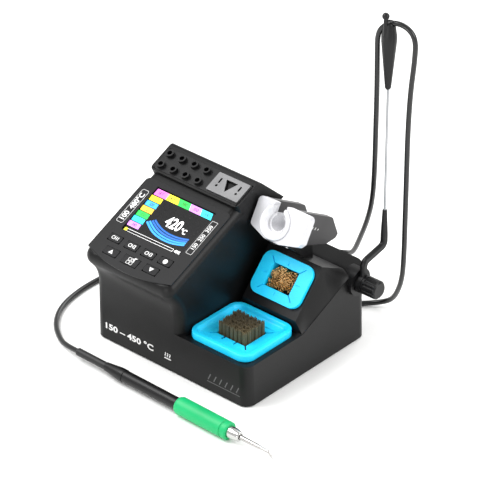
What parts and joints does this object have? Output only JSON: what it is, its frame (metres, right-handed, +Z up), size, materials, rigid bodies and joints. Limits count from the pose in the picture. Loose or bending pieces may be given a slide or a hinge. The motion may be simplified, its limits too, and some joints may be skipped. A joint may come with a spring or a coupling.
{
  "type": "soldering iron station",
  "caption": "Bench soldering station with a sloping control panel, tip tray, cleaning pots, iron holder and tilting cord arm, with its iron lying in front on a looped cord.",
  "frame": {"origin": "centre of the case's footprint, on the table under its rubber pad", "axes": "+X to the right along the front, +Y to the back, +Z up"},
  "size_m": [0.2576, 0.2298, 0.2674],
  "materials": {
    "case_plastic": "matte",
    "dark_plastic": "matte",
    "rubber": "matte",
    "steel": "satin",
    "board": "satin",
    "copper_iron": "satin",
    "heat_sink": "satin",
    "overlay": "gloss",
    "display": "gloss",
    "keys": "satin",
    "silicone_blue": "matte",
    "bristle": "matte",
    "brass_wool": "satin",
    "holder_silver": "satin",
    "holder_grey": "satin",
    "holder_ring": "satin",
    "cord": "gloss",
    "grip_green": "matte",
    "ferrule": "satin",
    "tip_steel": "polished",
    "gold_contact": "polished"
  },
  "bodies": {
    "station": {"upper_case": "case_plastic", "base_plate": "case_plastic", "non_slip_pad": "rubber", "base_screws": "steel", "power_board": "board", "transformer": "copper_iron", "capacitors": "dark_plastic", "heat_sink": "heat_sink", "power_board_screws": "steel", "panel_overlay": "overlay", "display_lens": "display", "display_module": "dark_plastic", "control_board": "board", "control_board_screws": "steel", "key_switches": "dark_plastic", "tip_tray": "case_plastic", "tip_plate": "steel", "holder_face": "holder_silver", "holder_collar": "holder_ring", "holder_sleeve": "holder_ring", "holder_cradle": "holder_grey", "holder_stand": "case_plastic", "holder_screws": "steel", "clamp_bracket": "dark_plastic", "power_inlet": "dark_plastic", "inlet_pins": "gold_contact", "inlet_screws": "steel", "switch_frame": "dark_plastic", "handle_socket": "steel", "socket_insert": "dark_plastic", "cord_plug": "dark_plastic", "strain_relief": "rubber", "iron_collar": "dark_plastic", "iron_shaft": "dark_plastic", "iron_grip": "grip_green", "iron_nose": "ferrule", "cord_hung": "cord", "cord_floor": "cord"},
    "arm": {"arm_elbow": "dark_plastic", "arm_rod": "steel", "arm_hook": "dark_plastic"},
    "knob": {"clamp_knob": "dark_plastic", "clamp_stud": "steel"},
    "rocker": {"power_rocker": "dark_plastic"},
    "cartridge": {"iron_cartridge": "tip_steel"},
    "front_tray": {"front_pot": "silicone_blue", "bristle_brush": "bristle"},
    "rear_tray": {"rear_pot": "silicone_blue", "brass_wool": "brass_wool"},
    "key_ch1_body": {"key_ch1": "keys"},
    "key_ch2_body": {"key_ch2": "keys"},
    "key_ch3_body": {"key_ch3": "keys"},
    "key_power_body": {"key_power": "keys"},
    "key_up_body": {"key_up": "keys"},
    "key_settings_body": {"key_settings": "keys"},
    "key_down_body": {"key_down": "keys"}
  },
  "joints": [
    {"name": "arm_tilt", "type": "hinge", "parent": "station", "child": "arm", "pos_m": [0.0798, 0.05555, 0.052], "axis": [1, 0, 0], "range_deg": [-30, 60], "deforming": ["cord_hung"]},
    {"name": "knob_turn", "type": "hinge", "parent": "station", "child": "knob", "pos_m": [0.085, 0.05555, 0.052], "axis": [1, 0, 0], "range_deg": [0, 360]},
    {"name": "power_rocker_tilt", "type": "hinge", "parent": "station", "child": "rocker", "pos_m": [-0.048, 0.06625, 0.054], "axis": [0, 0, 1], "range_deg": [0, 12]},
    {"name": "cartridge_slide", "type": "slide", "parent": "station", "child": "cartridge", "axis": [0.9998, -0.0175, 0], "range_m": [0, 0.04]},
    {"name": "front_tray_lift", "type": "slide", "parent": "station", "child": "front_tray", "axis": [0, 0, 1], "range_m": [0, 0.012]},
    {"name": "rear_tray_lift", "type": "slide", "parent": "station", "child": "rear_tray", "axis": [0, -0.7396, 0.673], "range_m": [0, 0.022]},
    {"name": "key_ch1_press", "type": "slide", "parent": "station", "child": "key_ch1_body", "axis": [0, 0.4099, -0.9121], "range_m": [0, 0.0005], "stiffness_N_per_m": 600, "springref_m": -0.001},
    {"name": "key_ch2_press", "type": "slide", "parent": "station", "child": "key_ch2_body", "axis": [0, 0.4099, -0.9121], "range_m": [0, 0.0005], "stiffness_N_per_m": 600, "springref_m": -0.001},
    {"name": "key_ch3_press", "type": "slide", "parent": "station", "child": "key_ch3_body", "axis": [0, 0.4099, -0.9121], "range_m": [0, 0.0005], "stiffness_N_per_m": 600, "springref_m": -0.001},
    {"name": "key_power_press", "type": "slide", "parent": "station", "child": "key_power_body", "axis": [0, 0.4099, -0.9121], "range_m": [0, 0.0005], "stiffness_N_per_m": 600, "springref_m": -0.001},
    {"name": "key_up_press", "type": "slide", "parent": "station", "child": "key_up_body", "axis": [0, 0.4099, -0.9121], "range_m": [0, 0.0005], "stiffness_N_per_m": 600, "springref_m": -0.001},
    {"name": "key_settings_press", "type": "slide", "parent": "station", "child": "key_settings_body", "axis": [0, 0.4099, -0.9121], "range_m": [0, 0.0005], "stiffness_N_per_m": 600, "springref_m": -0.001},
    {"name": "key_down_press", "type": "slide", "parent": "station", "child": "key_down_body", "axis": [0, 0.4099, -0.9121], "range_m": [0, 0.0005], "stiffness_N_per_m": 600, "springref_m": -0.001}
  ]
}
